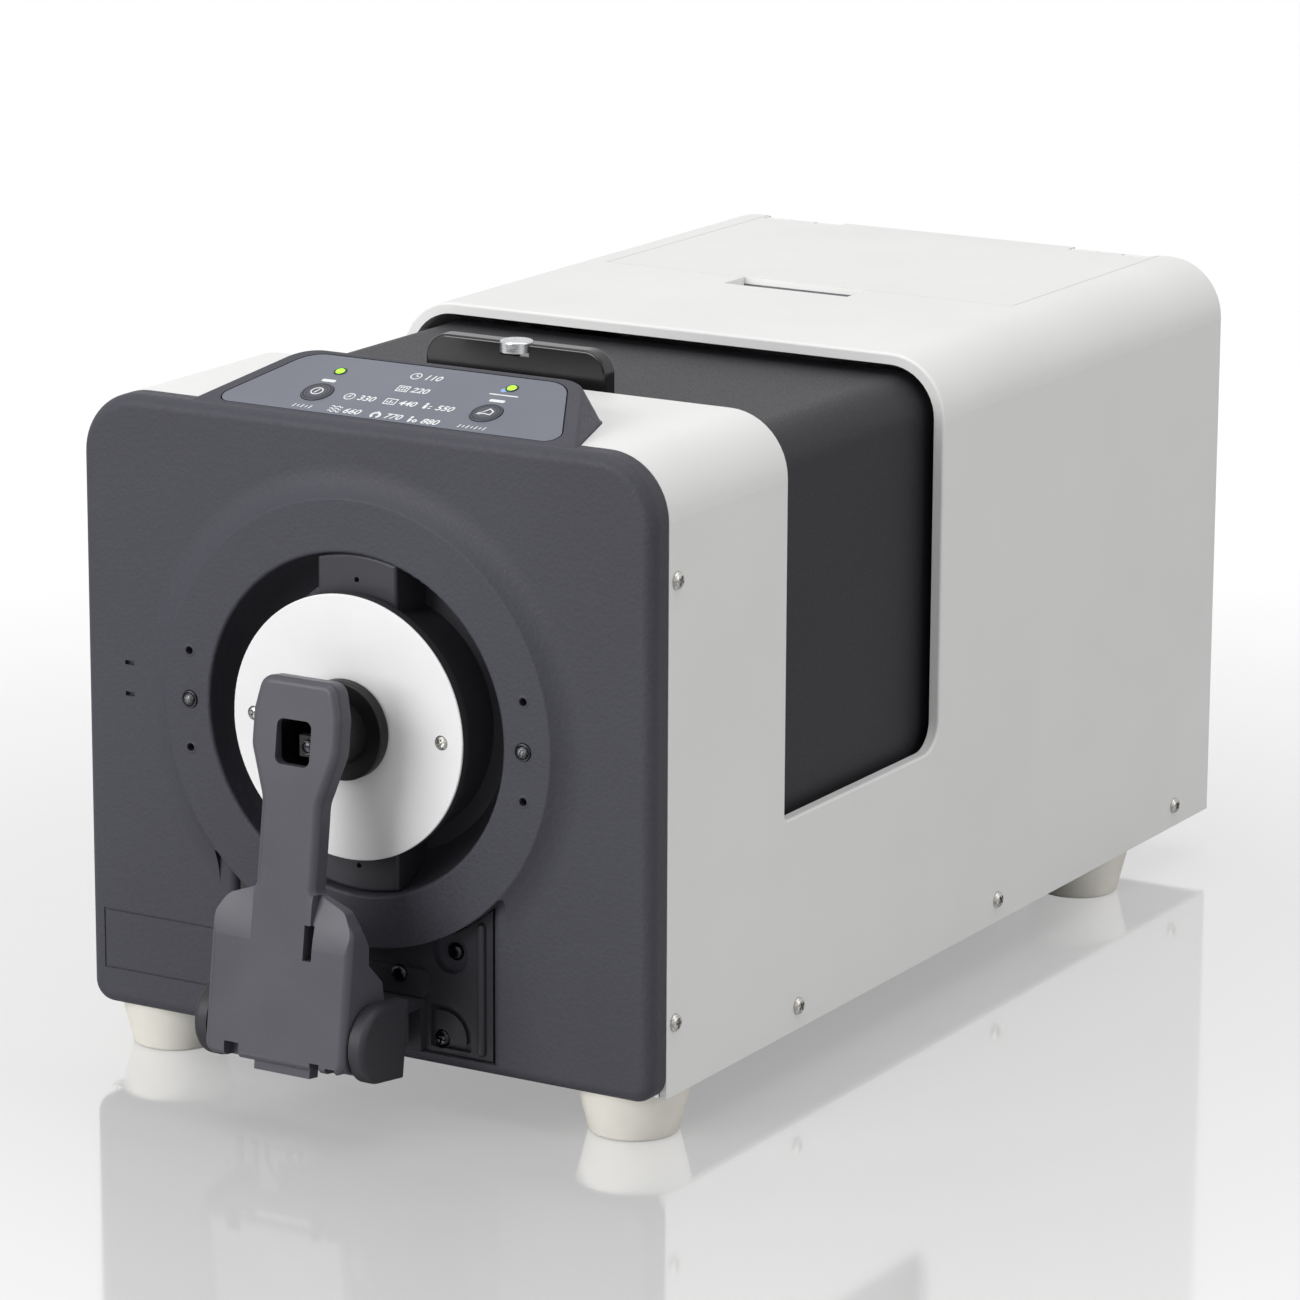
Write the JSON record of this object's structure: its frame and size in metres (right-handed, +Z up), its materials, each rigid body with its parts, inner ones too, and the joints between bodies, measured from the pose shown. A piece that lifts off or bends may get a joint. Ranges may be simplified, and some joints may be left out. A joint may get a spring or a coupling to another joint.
{
  "type": "colour spectrophotometer",
  "caption": "Bench colour spectrophotometer: box body on feet, round measuring port with mask, hinged sample arm, sliding chamber cover, key console and hinged rear lid.",
  "frame": {"origin": "centre of the overall box at the bottom of the feet", "axes": "+Z up, -Y out of the front panel, +X to the right seen from the front"},
  "size_m": [0.271, 0.5715, 0.2921],
  "materials": {
    "white_shell": "fine satin off-white paint",
    "dark_panel": "fine textured dark grey",
    "dark_slider": "fine textured dark grey",
    "arm_plastic": "satin dark grey",
    "black_plastic": "satin black",
    "membrane": "blue-grey overlay",
    "key_cap": "matt dark grey",
    "green_led": "lit green",
    "mask_white": "matt white",
    "sphere_white": "diffuse white",
    "steel": "plain",
    "black_rubber": "matt",
    "cream_rubber": "matt cream",
    "zinc_sheet": "zinc grey",
    "aluminium": "plain",
    "black_anodised": "matt black",
    "optical_glass": "coated",
    "grating_glass": "ruled mirror",
    "circuit_board": "green board",
    "lamp_glass": "clear tube",
    "tray_grey": "grey",
    "connector_black": "black",
    "knob_silver": "satin"
  },
  "bodies": {
    "housing": {"main_cover": "white_shell", "base_tray": "zinc_sheet", "front_panel": "dark_panel", "port_bowl": "dark_panel", "console_housing": "dark_panel", "console_membrane": "membrane", "console_leds": "green_led", "mask_carrier": "dark_panel", "target_mask": "mask_white", "mask_screws": "steel", "locating_plungers": "steel", "hinge_bracket": "dark_panel", "hinge_pin": "steel", "bracket_screws": "black_anodised", "bench_plate": "aluminium", "bench_posts": "steel", "cover_rails": "black_anodised", "chamber_front_wall": "black_anodised", "chamber_rear_wall": "black_anodised", "chamber_floor": "black_anodised", "sphere_front_half": "sphere_white", "sphere_rear_half": "sphere_white", "sphere_screws": "steel", "sphere_stand": "aluminium", "lens_barrel": "black_anodised", "objective_lens": "optical_glass", "spectrograph_case": "black_anodised", "grating": "grating_glass", "detector_board": "circuit_board", "lamp_housing": "aluminium", "xenon_lamp": "lamp_glass", "main_board": "circuit_board", "power_supply": "zinc_sheet", "lid_hinge_brackets": "zinc_sheet", "storage_tray": "tray_grey", "spare_mask": "mask_white", "rear_panel": "zinc_sheet", "power_inlet": "connector_black", "switch_frame": "connector_black", "usb_socket": "steel", "serial_socket": "steel", "fan_frame": "connector_black", "case_screws": "steel", "foot_screws": "steel", "foot_front_left": "cream_rubber", "foot_front_right": "cream_rubber", "foot_rear_left": "cream_rubber", "foot_rear_right": "cream_rubber"},
    "chamber_slider": {"chamber_cover": "dark_slider", "cover_handle": "black_plastic", "handle_screws": "steel"},
    "latch": {"latch_button": "knob_silver"},
    "lid": {"access_lid": "white_shell"},
    "arm": {"sample_arm": "arm_plastic", "viewing_camera": "black_plastic"},
    "pad": {"sample_pad": "black_rubber"},
    "left_key": {"power_key": "key_cap"},
    "right_key": {"measure_key": "key_cap"},
    "rocker": {"power_rocker": "connector_black"},
    "fan": {"fan_rotor": "connector_black"}
  },
  "joints": [
    {"name": "chamber_slide", "type": "slide", "parent": "housing", "child": "chamber_slider", "axis": [0, 1, 0], "range_m": [0, 0.1]},
    {"name": "latch_press", "type": "slide", "parent": "chamber_slider", "child": "latch", "axis": [0, 0, -1], "range_m": [0, 0.0014], "stiffness_N_per_m": 400},
    {"name": "lid_hinge", "type": "hinge", "parent": "housing", "child": "lid", "pos_m": [0, 0.27994, 0.2734], "axis": [-1, 0, 0], "range_deg": [0, 95]},
    {"name": "arm_hinge", "type": "hinge", "parent": "housing", "child": "arm", "pos_m": [0, -0.26656, 0.0425], "axis": [1, 0, 0], "range_deg": [0, 90]},
    {"name": "pad_press", "type": "slide", "parent": "arm", "child": "pad", "axis": [0, -1, 0], "range_m": [0, 0.003], "stiffness_N_per_m": 500},
    {"name": "power_key_press", "type": "slide", "parent": "housing", "child": "left_key", "axis": [0, 0.3223, -0.9466], "range_m": [0, 0.0008], "stiffness_N_per_m": 400},
    {"name": "measure_key_press", "type": "slide", "parent": "housing", "child": "right_key", "axis": [0, 0.3223, -0.9466], "range_m": [0, 0.0008], "stiffness_N_per_m": 400},
    {"name": "mains_switch", "type": "hinge", "parent": "housing", "child": "rocker", "pos_m": [0.05, 0.27844, 0.07], "axis": [-1, 0, 0], "range_deg": [0, 14]},
    {"name": "fan_spin", "type": "hinge", "parent": "housing", "child": "fan", "pos_m": [-0.07, 0.27144, 0.15], "axis": [0, 1, 0], "continuous": true}
  ]
}
